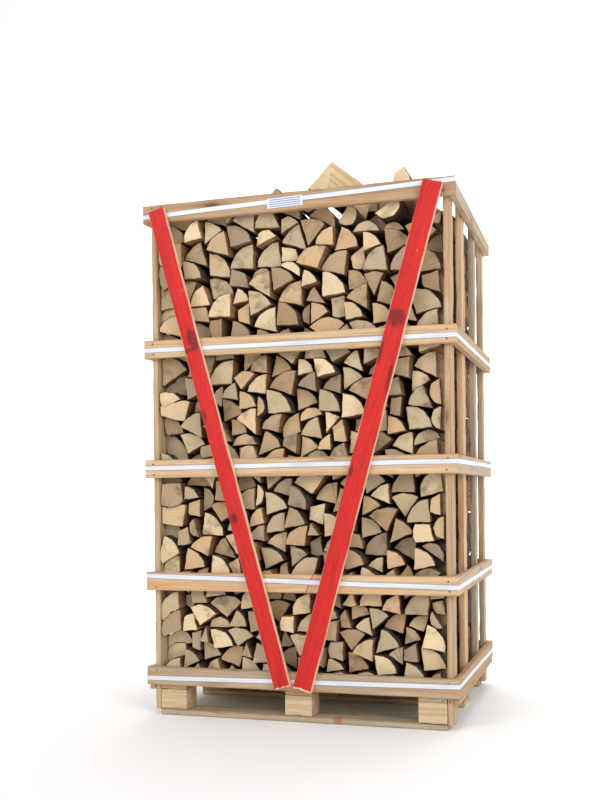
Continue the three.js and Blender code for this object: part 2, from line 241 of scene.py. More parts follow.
def sawn_wood(name, colours, marks=()):
    """Sawn softwood: fibres along the board, bands, knots, worn edges, grey weathering, and marks of red."""
    pale, warm, dark, grey = colours
    f = Finish(name)
    grain = f.attribute("grain")["Vector"]
    tone = f.split(f.attribute("tone")["Vector"])
    rim = f.attribute("rim")["Fac"]
    moved = f.moved_by(grain, f.attribute("tone")["Vector"], GRAIN_MOVES)
    bands = f.noise(f.stretched(moved, (1.1, 30, 30)), 1.6, 4, 0.6, 1.3)
    streaks = f.noise(f.stretched(moved, (1.6, 110, 110)), 1, 3, 0.6)
    fibres = f.noise(f.stretched(moved, (9, 380, 380)), 1, 3)
    patches = f.noise(f.stretched(moved, (3.2, 12, 12)), 1, 4, 0.6)
    spot = f.node("TexVoronoi", {"Vector": f.stretched(moved, (3.4, 14, 14)), "Scale": 1})
    speck = spot.outputs["Distance"]
    few = f.spread(f.split(spot.outputs["Color"])[0], 0.45, 0.50)
    knot = f.times(f.spread(f.plus(speck, f.times(streaks, 0.10)), 0.20, 0.11), few)
    halo = f.times(f.spread(speck, 0.36, 0.10), few)
    warmth = f.plus(f.times(tone[2], 0.75), f.spread(bands, 0.36, 0.68, -0.15, 0.40))
    colour = f.mix(f.spread(warmth, 0, 1), pale, warm)
    colour = f.tint(colour, dark, f.spread(streaks, 0.48, 0.72), 0.42)
    colour = f.tint(colour, dark, f.spread(fibres, 0.48, 0.78), 0.28)
    colour = f.tint(colour, dark, halo, 0.40)
    colour = f.tint(colour, f.bright(dark, 0.40), knot, 0.80)
    dirt = f.spread(f.plus(f.times(patches, 0.8), f.times(tone[1], 0.45)), 0.42, 0.86)
    colour = f.tint(colour, grey, dirt, 0.72)
    colour = f.bright(colour, f.spread(tone[0], 0, 1, 0.66, 1.06))
    worn = f.spread(f.plus(rim, f.times(f.less(patches, 0.5), 0.006)), 0.0032, 0.0008)
    colour = f.tint(colour, f.bright(dark, 0.9), worn, 0.30)
    along, across, _ = f.split(grain)
    for at, beside, long, wide, lean, strength in marks:
        off = f.less(across, beside * MM)
        shift = f.less(f.less(along, at * MM), f.times(off, lean))
        away = f.join(f.math("DIVIDE", shift, long * MM), f.math("DIVIDE", off, wide * MM), 0)
        near = f.plus(f.vector("LENGTH", away), f.times(f.less(fibres, 0.5), 0.8))
        colour = f.tint(colour, linear(176, 62, 52), f.spread(near, 1.1, 0.7), strength)
    height = f.plus(f.times(fibres, 0.5), f.plus(bands, streaks))
    f.bump(height, 0.4, 1.2)
    return f.done(colour, 0.78)


def red_paint(name, marks):
    """A board painted red on its face, with bare sides and ends, scuffs, and dark marks where told. Its bare
    wood is paler than the crate's, as painted light.
    """
    f = Finish(name)
    grain = f.attribute("grain")["Vector"]
    tone = f.attribute("tone")["Vector"]
    rim = f.attribute("rim")["Fac"]
    along, across, through = f.split(grain)
    moved = f.moved_by(grain, tone, GRAIN_MOVES)
    fibres = f.noise(f.stretched(moved, (7, 260, 260)), 1, 3)
    bands = f.noise(f.stretched(moved, (1.4, 30, 30)), 1.5, 4, 0.6, 1.2)
    patches = f.noise(f.stretched(moved, (9, 26, 26)), 1, 4, 0.65)
    mottle = f.noise(f.stretched(moved, (60, 120, 120)), 1, 3)
    paint = f.mix(f.spread(bands, 0.35, 0.70), linear(207, 39, 32), linear(186, 30, 26))
    paint = f.tint(paint, linear(158, 26, 24), f.spread(patches, 0.48, 0.74), 0.45)
    paint = f.tint(paint, linear(140, 28, 26), f.spread(mottle, 0.48, 0.72), 0.22)
    paint = f.tint(paint, linear(138, 28, 26), f.spread(fibres, 0.52, 0.78), 0.22)
    for at, beside, long, wide in marks:
        away = f.join(
            f.math("DIVIDE", f.less(along, at * MM), long * MM),
            f.math("DIVIDE", f.less(across, beside * MM), wide * MM),
            0,
        )
        near = f.plus(f.vector("LENGTH", away), f.times(f.less(patches, 0.5), 2.2))
        near = f.plus(near, f.times(f.less(mottle, 0.5), 1.2))
        paint = f.tint(paint, linear(82, 24, 26), f.spread(near, 1.25, 0.45), 0.72)
    # The bare wood, on the sides, ends, edges and scuffs, is made paler than the crate's wood: painted light,
    # so that the narrow sides facing right look lit.
    wood = f.mix(f.spread(fibres, 0.35, 0.70), linear(252, 220, 188), linear(226, 178, 138))
    loose = f.times(f.less(f.plus(patches, fibres), 1.0), 0.0018)
    side = f.spread(f.plus(through, loose), 0.0024, 0.0032)
    edge = f.times(f.spread(f.plus(rim, loose), 0.0005, -0.0004), 0.7)
    end = f.spread(f.plus(along, f.times(loose, 9)), 0.008, 0.003)
    scuff = f.spread(f.noise(f.stretched(moved, (26, 60, 60)), 1, 3, 0.7), 0.71, 0.75)
    bare = f.math("MAXIMUM", side, edge)
    bare = f.math("MAXIMUM", bare, f.math("MAXIMUM", end, f.times(scuff, 0.5)))
    f.bump(f.plus(f.times(fibres, 0.5), bands), 0.35, 1.0)
    f.feed(f.shader.inputs["Specular IOR Level"], 0.3)
    return f.done(f.mix(bare, paint, wood), 0.6)


def log_place(f):
    """What a log finish starts from: the place about the pith, the log's tones, and a place for noise."""
    grain = f.attribute("grain")["Vector"]
    tone = f.attribute("tone")["Vector"]
    moved = f.moved_by(grain, tone, LOG_MOVES)
    return f.split(grain), f.split(tone), moved


def log_end():
    """The sawn end of a log: faint rings about the pith, a few cracks, saw marks and stains."""
    f = Finish("log_end")
    place, tone, moved = log_place(f)
    rim = f.attribute("rim")["Fac"]
    wander = f.times(f.less(f.noise(moved, 18, 2), 0.5), 0.012)
    away = f.plus(f.vector("LENGTH", f.join(place[0], place[1], 0)), wander)
    rings = f.bands(f.plus(away, tone[2]), 300, 2)
    turn = f.math("ARCTAN2", place[1], place[0])
    rays = f.bands(f.plus(turn, f.times(tone[0], 9)), 3.0, 3)
    crack = f.spread(f.math("ABSOLUTE", f.less(rays, 0.5)), 0.008, 0.0)
    crack = f.times(crack, f.spread(f.noise(moved, 14, 2), 0.50, 0.62))
    crack = f.times(crack, f.spread(tone[2], 0.62, 0.70))
    patches = f.noise(moved, 16, 4, 0.6)
    fine = f.noise(moved, 380, 3)
    marks = f.noise(f.stretched(moved, (26, 420, 1)), 1, 2)
    colour = f.mix(f.spread(tone[1], 0.10, 0.95), linear(223, 202, 164), linear(202, 168, 128))
    colour = f.tint(colour, linear(168, 132, 92), f.spread(rings, 0.40, 0.70), 0.22)
    colour = f.tint(colour, linear(184, 154, 114), f.spread(patches, 0.44, 0.74), 0.36)
    colour = f.tint(colour, linear(126, 96, 64), f.spread(fine, 0.50, 0.75), 0.24)
    greyed = f.times(f.spread(f.math("FRACT", f.times(tone[2], 7)), 0.72, 0.95), 0.55)
    colour = f.mix(greyed, colour, linear(172, 156, 138))
    stain = f.spread(f.plus(patches, f.times(tone[2], 0.18)), 0.64, 0.84)
    colour = f.tint(colour, linear(112, 94, 74), stain, 0.60)
    colour = f.tint(colour, linear(58, 38, 24), crack, 0.75)
    colour = f.tint(colour, linear(116, 84, 54), f.spread(rim, 0.55, 1.0), 0.40)
    colour = f.bright(colour, f.spread(tone[0], 0, 1, 0.60, 1.08))
    height = f.plus(f.times(fine, 0.5), f.less(marks, crack))
    f.bump(height, 0.45, 1.2)
    return f.done(colour, 0.86)


def log_split(name, pale, warm, band, fibre):
    """A split side with fibres along the log."""
    f = Finish(name)
    _, tone, moved = log_place(f)
    fibres = f.noise(f.stretched(moved, (190, 190, 6)), 1, 4, 0.6, 0.4)
    bands = f.noise(f.stretched(moved, (60, 60, 2.0)), 1, 3)
    colour = f.mix(f.spread(tone[1], 0.1, 0.9), pale, warm)
    colour = f.tint(colour, band, f.spread(bands, 0.42, 0.66), 0.55)
    colour = f.tint(colour, fibre, f.spread(fibres, 0.48, 0.72), 0.5)
    colour = f.bright(colour, f.spread(tone[0], 0, 1, 0.66, 1.0))
    f.bump(f.plus(fibres, bands), 0.6, 2.4)
    return f.done(colour, 0.85)


def log_bark():
    """Grey brown bark with ridges along the log and pale lichen spots."""
    f = Finish("log_bark")
    _, tone, moved = log_place(f)
    ridges = f.noise(f.stretched(moved, (120, 120, 22)), 1, 4, 0.65, 0.8)
    patches = f.noise(moved, 30, 3)
    colour = f.mix(f.spread(ridges, 0.35, 0.66), linear(46, 33, 24), linear(96, 75, 56))
    colour = f.tint(colour, linear(118, 104, 88), f.spread(patches, 0.50, 0.72), 0.4)
    colour = f.bright(colour, f.spread(tone[2], 0, 1, 0.60, 1.05))
    f.bump(ridges, 0.8, 4)
    return f.done(colour, 0.92)


def strap_plastic():
    """White woven plastic band with fine embossing, and a painted shadow line along each edge."""
    f = Finish("strap_plastic")
    moved = f.attribute("grain")["Vector"]
    inputs = {"Vector": moved, "Scale": 130, "Distortion": 0.6}
    weave = f.node("TexWave", inputs, bands_direction="DIAGONAL").outputs["Fac"]
    patches = f.noise(f.stretched(moved, (4, 40, 40)), 1, 3)
    colour = f.mix(f.spread(patches, 0.42, 0.72), linear(220, 223, 230), linear(196, 203, 214))
    # Darker grey along both edges of the band: a painted shadow line.
    from_middle = f.math("ABSOLUTE", f.split(moved)[1])
    edge = f.spread(from_middle, 0.0070, 0.0088)
    colour = f.tint(colour, linear(104, 106, 112), edge, 0.85)
    f.bump(weave, 0.25, 0.3)
    return f.done(colour, 0.42)


def bare_label():
    """A bare white label with plain ruled lines."""
    f = Finish("bare_label")
    place = f.split(f.attribute("grain")["Vector"])
    across = f.math("FRACT", f.times(place[1], 125))
    line = f.spread(f.math("ABSOLUTE", f.less(across, 0.5)), 0.24, 0.18)
    inside = f.spread(f.math("ABSOLUTE", place[0]), 0.061, 0.059)
    ruled = f.times(f.times(line, inside), 0.8)
    return f.done(f.mix(ruled, linear(212, 217, 229), linear(84, 98, 150)), 0.5)


def steel(name, pale, dark, metallic):
    """Dull steel with small patches."""
    f = Finish(name)
    patches = f.noise(f.attribute("grain")["Vector"], 700, 2)
    f.feed(f.shader.inputs["Metallic"], metallic)
    return f.done(f.mix(f.spread(patches, 0.35, 0.65), pale, dark), 0.45)


def studio_floor():
    f = Finish("studio_floor")
    place = f.node("NewGeometry", {}).outputs["Position"]
    colour = f.mix(f.noise(place, 0.6, 2), linear(250, 250, 250), linear(247, 247, 247))
    return f.done(colour, 0.9)


# Meshes


class Shape:
    """Points, faces and what the finishes read, gathered before they become one mesh."""

    def __init__(self):
        self.parts = {"points": [], "grain": [], "tone": [], "rim": []}
        self.faces = []
        self.kinds = []
        self.count = 0

    def add(self, points, faces, kinds, grain, tone, rim):
        for key, value in (("points", points), ("grain", grain), ("rim", rim)):
            self.parts[key].append(np.asarray(value, float))
        self.parts["tone"].append(np.tile(np.asarray(tone, float), (len(points), 1)))
        self.faces += [[self.count + i for i in face] for face in faces]
        self.kinds += list(kinds)
        self.count += len(points)

    def piece(self, name, finishes, sharp=40):
        """The finished object, with its place in its vertices."""
        mesh = bpy.data.meshes.new(name)
        points = np.concatenate(self.parts["points"]) * MM
        mesh.from_pydata(points.tolist(), [], self.faces)
        for key, kind in (("grain", "FLOAT_VECTOR"), ("tone", "FLOAT_VECTOR"), ("rim", "FLOAT")):
            layer = mesh.attributes.new(key, kind, "POINT")
            values = np.concatenate(self.parts[key])
            if key == "grain":
                values = values * MM
            layer.data.foreach_set("value" if kind == "FLOAT" else "vector", values.ravel())
        for finish in finishes:
            mesh.materials.append(finish)
        mesh.polygons.foreach_set("material_index", self.kinds)
        mesh.polygons.foreach_set("use_smooth", [True] * len(self.faces))
        mesh.set_sharp_from_angle(angle=math.radians(sharp))
        mesh.update()
        made = bpy.data.objects.new(name, mesh)
        bpy.context.scene.collection.objects.link(made)
        return made


def fit_to_part(piece, replaced=()):
    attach(piece, "root")
    if replaced:
        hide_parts(*replaced)


def tube_faces(rings, size, closed=False):
    """Quads between rings of points that follow each other, where closed from the last to the first too."""
    return [
        [r * size + i, after * size + i, after * size + (i + 1) % size, r * size + (i + 1) % size]
        for r, after in [(r, (r + 1) % rings) for r in range(rings if closed else rings - 1)]
        for i in range(size)
    ]


def waves(around, along, lengths, sizes):
    """A smooth uneven height for places around and along a body."""
    height = np.zeros(np.broadcast(around, along).shape)
    for (wide, long), size in zip(lengths, sizes):
        turn, shift = random.uniform(0, 2 * math.pi, 2)
        swing = np.sin(2 * math.pi * along / long + shift)
        height += size * np.sin(2 * math.pi * around / wide + turn + swing)
    return height


def board_section(width, thick):
    """Places round a board's section, each with how far it is from the nearest edge of its face."""
    cut = EDGE_WEAR
    parts = max(2, int(width // BOARD_FACE_STEP))
    face = [(cut + (width - 2 * cut) * i / parts, 0.0) for i in range(parts + 1)]
    half = [(a, t, min(a, width - a) - cut) for a, t in face]
    half += [(width, cut, 0.0), (width, thick / 2, thick / 2 - cut), (width, thick - cut, 0.0)]
    return np.array(half + [(width - a, thick - t, rim) for a, t, rim in half])


def sawn_board(shape, start, axes, size, tone, ragged=1.0, chips=4.5):
    """A board from its lowest corner, its directions (along, across, through) and its lengths. Ragged is how
    uneven its ends are, and chips is how deep the largest chips off its edges are."""
    length, width, thick = size
    section = board_section(width, thick)
    rings = max(4, int(length // BOARD_STEP))
    count = len(section)
    a, t, rim = (np.tile(column, (rings + 1, 1)) for column in section.T)
    s = np.tile((np.linspace(0, 1, rings + 1) * length)[:, None], (1, count))
    at_edge = rim < 0.1
    inward = LEAST_WEAR * (1 + np.abs(waves(a + t, s, WEAR_LENGTHS, WEAR_SIZES)))
    inward += at_edge * (random.random(a.shape) * 0.6 + random.random(a.shape) ** 9 * chips)
    near_a = np.minimum(a, width - a) < EDGE_WEAR + 1
    near_t = np.minimum(t, thick - t) < EDGE_WEAR + 1
    a = a + np.sign(width / 2 - a) * inward * near_a
    t = t + np.sign(thick / 2 - t) * inward * near_t
    s[0] += random.random(count) * ragged
    s[-1] -= random.random(count) * ragged
    local = np.stack([s, a, t], -1).reshape(-1, 3)
    points = np.asarray(start, float) + local @ np.asarray(axes, float)
    last = rings * count
    faces = tube_faces(rings + 1, count)
    faces.append(list(range(count)))
    faces.append([last + i for i in range(count)][::-1])
    if np.linalg.det(np.asarray(axes, float)) < 0:
        faces = [face[::-1] for face in faces]
    shape.add(points, faces, [0] * len(faces), local, tone, rim.reshape(-1) * MM)


AXES = np.eye(3)


def box_board(node, tone):
    """The board that fills a CAD node's box: its longest side is along the grain, its shortest through it."""
    low, high = (np.array(corner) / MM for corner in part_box(node))
    size = high - low
    order = np.argsort(-size, kind="stable")
    shape = Shape()
    sawn_board(shape, low, AXES[order], size[order], tone)
    return shape


# Finishes

CRATE_COLOURS = (linear(211, 187, 150), linear(200, 150, 103), linear(134, 92, 60), linear(160, 150, 134))
PALLET_COLOURS = (linear(208, 185, 148), linear(184, 146, 104), linear(112, 82, 56), linear(140, 130, 114))
crate_wood = sawn_wood("crate_wood", CRATE_COLOURS)
pallet_wood = sawn_wood("pallet_wood", PALLET_COLOURS)
bark = log_bark()
# The row logs' split sides are darkened: painted shade for the dim gaps of the stack, where these sides show.
# The pale copy, on the logs laid on top, is the split wood's own colour.
SHADED_SPLIT_COLOURS = (linear(168, 128, 86), linear(142, 102, 66), linear(112, 76, 46), linear(78, 50, 30))
PALE_COLOURS = (linear(236, 210, 170), linear(224, 188, 142), linear(206, 162, 112), linear(168, 124, 82))
shaded_row_split = log_split("log_split", *SHADED_SPLIT_COLOURS)
pale_split = log_split("pale_log_split", *PALE_COLOURS)
log_finishes = [log_end(), shaded_row_split, bark]
top_log_finishes = [log_finishes[END], pale_split, bark]
plastic = strap_plastic()

# Crate and pallet boards

# A tone is how bright, how grey and how warm a board is, each from 0 to 1
TONES = {
    "top_front_rail": (0.30, 0.05, 0.62),
    "upper_front_rail": (0.80, 0.10, 0.55),
    "middle_front_rail": (0.82, 0.20, 0.42),
    "lower_front_rail": (0.85, 0.15, 0.60),
    "bottom_front_rail": (0.45, 0.40, 0.38),
    "bottom_right_rail": (0.55, 0.30, 0.85),
    "right_post_1": (0.45, 0.08, 0.40),
    "right_post_2": (0.85, 0.05, 0.55),
    "right_post_3": (0.60, 0.80, 0.15),
    "right_post_4": (0.65, 0.50, 0.35),
    "left_post_1": (0.45, 0.10, 0.35),
    "front_left_block": (0.95, 0.20, 0.25),
    "front_middle_block": (0.98, 0.05, 0.25),
    "front_right_block": (1.0, 0.20, 0.30),
    "front_bottom_board": (0.95, 0.70, 0.12),
}
LOWEST_TONE = (0.45, 0.0, 0.1)
HIGHEST_TONE = (0.95, 0.6, 0.8)
TONE_SPREAD = 0.04
PALLET_WORDS = ("block", "stringer", "deck", "bottom_board")

# The red boards: how uneven their ends are, how deep their largest chips, and their dark marks: how far up,
# how far from the left edge, half the length, half the width
RED_RAGGED = 4
RED_CHIPS = 0.8
RED_MARKS = {
    "red_left_board": ((1336, 46, 36, 22), (1306, 18, 9, 20), (650, 18, 26, 18), (1050, 12, 30, 8)),
    "red_right_board": ((1388, 30, 32, 34), (1262, 8, 46, 10), (1180, 62, 70, 8), (820, 10, 24, 10)),
}

# Red smears on bare boards: how far along, how far across, half the length, half the width, lean, strength
RED_SMEARS = {
    "lower_front_rail": ((653, 33, 4, 60, 0.44, 0.85), (672, 33, 13, 60, 0.44, 0.30)),
    "front_bottom_board": ((702, 0, 17, 40, 0.0, 0.55),),
}

for node in sorted(nodes):
    if any(word in node for word in ("firewood", "strap", "log", "red")):
        continue
    pallet = any(word in node for word in PALLET_WORDS)
    tone = random.uniform(LOWEST_TONE, HIGHEST_TONE)
    tone = np.array(TONES.get(node, tone)) + random.uniform(-TONE_SPREAD, TONE_SPREAD, 3)
    wood = pallet_wood if pallet else crate_wood
    if node in RED_SMEARS:
        colours = PALLET_COLOURS if pallet else CRATE_COLOURS
        wood = sawn_wood(node + "_wood", colours, RED_SMEARS[node])
    piece = box_board(node, tone).piece(node + "_worn", [wood])
    fit_to_part(piece, [node])


def points_of(node):
    """A CAD node's different points, in millimetres, and which of them each of its vertices is."""
    mesh = nodes[node].data
    co = np.zeros(len(mesh.vertices) * 3, np.float32)
    mesh.vertices.foreach_get("co", co)
    places = np.round(co.reshape(-1, 3).astype(float) / MM, 2)
    points, which = np.unique(places, axis=0, return_inverse=True)
    return points, which.ravel()


def slanting_board(node):
    """A slanting board's corners from the lowest up, and the middles of its lower and its upper end."""
    corners = points_of(node)[0]
    corners = corners[np.argsort(corners[:, 2])]
    return corners, corners[:4].mean(0), corners[4:].mean(0)


for node, marks in RED_MARKS.items():
    corners, foot, head = slanting_board(node)
    along = head - foot
    length = np.linalg.norm(along)
    along /= length
    through = np.array([0.0, 1.0, 0.0])
    across = np.cross(through, along)
    across /= np.linalg.norm(across)
    start = corners[np.argmin((corners - corners.mean(0)) @ (along * 4 + across + through * 0.5))]
    size = (length, np.ptp(corners @ across), np.ptp(corners @ through))
    shape = Shape()
    tone = random.random(3)
    sawn_board(shape, start, [along, across, through], size, tone, RED_RAGGED, RED_CHIPS)
    fit_to_part(shape.piece(node + "_painted", [red_paint(node + "_paint", marks)]), [node])


# Straps

# How far off the boards a band's inner and outer sides are, half its width, how round its corners are, how
# far apart its places are, how high and long its waves are, and how thick a strap's solid is
STRAP_INNER = 0.15
STRAP_OUTER = 0.75
STRAP_HALF = 9.6
CORNER_TURN = 3
STRAP_STEP = 50
STRAP_WAVE = 0.5
STRAP_WAVE_LENGTH = 160
STRAP_SOLID = 1
STRAP_SHARP = 50


def strap_path(half_x, half_y):
    """Places round the crate, with a small round corner at each edge."""
    places = []
    for sx, sy, first in ((1, 1, 0), (-1, 1, 90), (-1, -1, 180), (1, -1, 270)):
        for turn in (0, 30, 60, 90):
            angle = math.radians(first + turn)
            x = sx * (half_x - CORNER_TURN) + CORNER_TURN * math.cos(angle)
            y = sy * (half_y - CORNER_TURN) + CORNER_TURN * math.sin(angle)
            places.append((x, y))
    dense = []
    for (ax, ay), (bx, by) in zip(places, places[1:] + places[:1]):
        parts = max(1, int(math.hypot(bx - ax, by - ay) // STRAP_STEP))
        dense += [(ax + (bx - ax) * i / parts, ay + (by - ay) * i / parts) for i in range(parts)]
    return np.array(dense)


def strap_level(corners):
    """The level of a strap as a slope along x, a slope along y and a height."""
    return np.linalg.lstsq(np.c_[corners[:, :2], np.ones(len(corners))], corners[:, 2], rcond=None)[0]


def strap(node):
    """A flat band round the crate, waving a little up and down."""
    corners = points_of(node)[0]
    level = strap_level(corners)
    half_x, half_y = np.abs(corners[:, :2]).max(0) - STRAP_SOLID
    outer = strap_path(half_x + STRAP_OUTER, half_y + STRAP_OUTER)
    inner = strap_path(half_x + STRAP_INNER, half_y + STRAP_INNER)
    count = len(outer)
    run = np.r_[0, np.cumsum(np.linalg.norm(np.diff(outer, axis=0), axis=1))]
    middle = outer @ level[:2] + level[2]
    middle = middle + STRAP_WAVE * np.sin(run / STRAP_WAVE_LENGTH + random.uniform(0, 6))
    rings = []
    grain = []
    for path, drop, place in ((outer, -1, 0), (outer, 1, 1), (inner, 1, 2), (inner, -1, 3)):
        rings.append(np.c_[path, middle + drop * STRAP_HALF])
        grain.append(np.c_[run, np.full(count, drop * STRAP_HALF), np.full(count, float(place))])
    points = np.stack(rings, 1).reshape(-1, 3)
    places = np.stack(grain, 1).reshape(-1, 3)
    faces = tube_faces(count, len(rings), closed=True)
    shape = Shape()
    shape.add(points, faces, [0] * len(faces), places, random.random(3), np.zeros(len(points)))
    return shape.piece(node + "_band", [plastic], STRAP_SHARP)


for node in sorted(n for n in nodes if n.endswith("_strap")):
    fit_to_part(strap(node), [node])


# Label

LABEL_MIDDLE = (-25.5, 1919)
LABEL_SIZE = (137, 38)
LABEL_TILT = 1.4
LABEL_FRONT = -501.05
LABEL_CURL = 0.12
LABEL_GRID = (12, 4)


def label():
    """The label, tilted a little, with an uneven upper and lower edge."""
    columns, rows = LABEL_GRID
    shape = Shape()
    c, s = math.cos(math.radians(LABEL_TILT)), math.sin(math.radians(LABEL_TILT))
    front, grain = [], []
    for j in range(rows + 1):
        for i in range(columns + 1):
            a = LABEL_SIZE[0] * (i / columns - 0.5)
            b = LABEL_SIZE[1] * (j / rows - 0.5)
            lift = LABEL_CURL * math.sin(i * 1.1) * (1 if j in (0, rows) else 0.3)
            x = LABEL_MIDDLE[0] + a * c - b * s
            front.append((x, LABEL_FRONT + lift, LABEL_MIDDLE[1] + a * s + b * c))
            grain.append((a, b, 0))
    wide = columns + 1
    faces = [
        [j * wide + i, j * wide + i + 1, (j + 1) * wide + i + 1, (j + 1) * wide + i]
        for j in range(rows)
        for i in range(columns)
    ]
    shape.add(front, faces, [0] * len(faces), grain, (0, 0, 0), np.zeros(len(front)))
    return shape.piece("label", [bare_label()])


fit_to_part(label())


# Logs


def patches_of(triangles):
    """The triangles, gathered into patches that hang together."""
    left = list(triangles)
    patches = []
    while left:
        patch = [left.pop()]
        grown = True
        while grown:
            held = set(i for t in patch for i in t)
            near = [t for t in left if held & set(t)]
            left = [t for t in left if not held & set(t)]
            patch += near
            grown = bool(near)
        patches.append(patch)
    return patches


def border_of(patch):
    """The corners round a patch of triangles, one after the other."""
    sides = dict.fromkeys(side for t in patch for side in zip(t, t[1:] + t[:1]))
    following = {a: b for a, b in sides if (b, a) not in sides}
    at = next(iter(following))
    loop = []
    while at in following:
        loop.append(at)
        at = following.pop(at)
    return loop


def front_outlines(node):
    """The depth and the corners of every log end of a row, from the solid's outermost flat faces in front."""
    points, which = points_of(node)
    mesh = nodes[node].data
    mesh.calc_loop_triangles()
    tris = which[np.array([t.vertices for t in mesh.loop_triangles])]
    by_depth = {}
    for t in tris:
        depth = points[t[0], 1]
        if np.ptp(points[t, 1]) < SAME_DEPTH and depth < -END_FACES_PAST and len(set(t)) == 3:
            by_depth.setdefault(round(depth, 1), []).append(tuple(t))
    loops = []
    for group in by_depth.values():
        for patch in patches_of(group):
            loop = border_of(patch)
            corners = points[loop][:, [0, 2]]
            if twice_area(corners) < 0:
                corners = corners[::-1]
            loops.append((float(points[loop[0], 1]), corners))
    return sorted(loops, key=lambda entry: entry[0])


def twice_area(corners):
    x, z = corners[:, 0], corners[:, 1]
    return float(np.sum(x * np.roll(z, -1) - np.roll(x, -1) * z))


def inner_angles(corners):
    before = np.roll(corners, 1, 0) - corners
    after = np.roll(corners, -1, 0) - corners
    cosine = np.sum(before * after, 1) / np.linalg.norm(before, axis=1) / np.linalg.norm(after, axis=1)
    return np.degrees(np.arccos(np.clip(cosine, -1, 1)))


def bark_sides(corners):
    """Which sides of a log's outline are bark, the first from its first corner on, and where its pith is."""
    count = len(corners)
    angles = inner_angles(corners)
    bark = np.zeros(count, bool)
    wide = np.flatnonzero(angles > BARK_ANGLE)
    if len(wide):
        bark[wide] = True
        bark[(wide - 1) % count] = True
        free = [i for i in range(count) if not bark[i] and not bark[i - 1]]
        flat = corners[~bark] if (~bark).any() else corners
        return bark, corners[free].mean(0) if free else flat.mean(0)
    sharpest = int(np.argmin(angles))
    bark[(sharpest + count // 2) % count] = random.random() < BARK_CHANCE
    outward = corners[sharpest] - corners.mean(0)
    return bark, corners[sharpest] + outward * random.uniform(0, PITH_OUTSIDE)


def log_outline(corners, bark):
    """Places round a log with cut corners and bulging bark, and whether each piece of the outline is bark."""
    places, sides = [], []
    count = len(corners)
    for i in range(count):
        start, end = corners[i], corners[(i + 1) % count]
        way = end - start
        length = np.linalg.norm(way)
        way = way / length
        out = np.array([way[1], -way[0]])
        cut = min(CORNER_CUT, length / 4)
        sag = min(length**2 / (8 * BARK_RADIUS), MOST_SAG) if bark[i] else 0.0
        steps = max(2, int(round(length / OUTLINE_STEP)))
        for k in range(steps + 1):
            s = cut + (length - 2 * cut) * k / steps
            bulge = 4 * (s / length) * (1 - s / length) * sag
            places.append(start + way * s + out * (bulge - LOG_SHRINK))
            sides.append(bool(bark[i]))
    return np.array(places), np.array(sides)


def log_cap(edge, depth, outer, base, barked):
    """A log's sawn end inside its rim: its points, how near the rim they are, its faces and their kinds."""
    count = len(edge)
    centre = edge.mean(0)
    points, rims = [], []
    for size, near, uneven in END_LAYERS:
        spot = centre + (edge - centre) * size
        back = depth.mean() + (depth - depth.mean()) * size
        if uneven:
            back = back + random.normal(0, uneven, count)
        points.append(np.c_[spot, back])
        rims.append(np.full(count, near))
    points.append(np.r_[centre, depth.mean()][None])
    rims.append(np.zeros(1))
    faces, kinds = [], []
    first, second, tip = base, base + count, base + 2 * count
    for i in range(count):
        j = (i + 1) % count
        faces.append([outer + j, outer + i, first + i, first + j])
        faces.append([first + j, first + i, second + i, second + j])
        faces.append([second + j, second + i, tip])
        kinds += [BARK if barked[i] else END, END, END]
    return np.concatenate(points), np.concatenate(rims), faces, kinds


def add_log(shape, corners, origin, axes, length, rings=6, sides=None, tone=None):
    """A split log from its end's corners (in the first two axes) along the third one."""
    bark, pith = sides or bark_sides(corners)
    outline, is_bark = log_outline(corners, bark)
    count = len(outline)
    middle = corners.mean(0)
    around = np.r_[0, np.cumsum(np.linalg.norm(np.diff(outline, axis=0), axis=1))]
    even = np.linspace(EVEN_FROM_NEAR, length - EVEN_FROM_FAR, rings - 1)
    steps = np.r_[0, END_RIM, even, length - END_RIM, length]
    along = np.tile(steps[:, None], (1, count))
    rough = waves(np.tile(around, (len(steps), 1)), along, ROUGH_LENGTHS, ROUGH_SIZES)
    rough *= np.where(is_bark, BARK_ROUGHNESS, 1.0)
    away = outline - middle
    reach = np.linalg.norm(away, axis=1)
    scale = 1 + rough / reach
    scale = scale * (1 + random.uniform(-TAPER, TAPER) * (along / length))
    scale[0] -= END_ROUNDING / reach
    scale[-1] -= END_ROUNDING / reach
    bow = np.sin(math.pi * along / length)[..., None] * random.uniform(-BOW, BOW, 2)
    flat = middle + away * scale[..., None] + bow
    tilt = random.normal(0, NEAR_END_LEAN, 2)
    lean = (flat[0] - middle) @ tilt
    lean = lean - lean.min()
    far_tilt = random.normal(0, FAR_END_LEAN, 2)
    far_lean = (flat[-1] - middle) @ far_tilt
    far_lean = far_lean - far_lean.min()
    depth = along + lean[None, :] * (1 - along / length) - far_lean[None, :] * (along / length)
    body = np.concatenate([flat, depth[..., None]], -1).reshape(-1, 3)
    faces = tube_faces(len(steps), count)
    barked = is_bark & np.roll(is_bark, -1)
    kinds = [BARK if here else SPLIT for here in barked] * (len(steps) - 1)
    points, rims = [body], [np.zeros(len(body))]
    for ring in (0, len(steps) - 1):
        base = sum(len(part) for part in points)
        cap, near, cap_faces, cap_kinds = log_cap(flat[ring], depth[ring], ring * count, base, barked)
        points.append(cap)
        rims.append(near)
        faces += [face[::-1] for face in cap_faces] if ring else cap_faces
        kinds += cap_kinds
    local = np.concatenate(points)
    rims = np.concatenate(rims)
    rims[:count] = 1.0
    rims[len(body) - count : len(body)] = 1.0
    grain = local.copy()
    grain[:, :2] -= pith
    placed = np.asarray(origin, float) + local @ np.asarray(axes, float)
    if np.linalg.det(np.asarray(axes, float)) < 0:
        faces = [face[::-1] for face in faces]
    shape.add(placed, faces, kinds, grain, random.random(3) if tone is None else tone, rims)


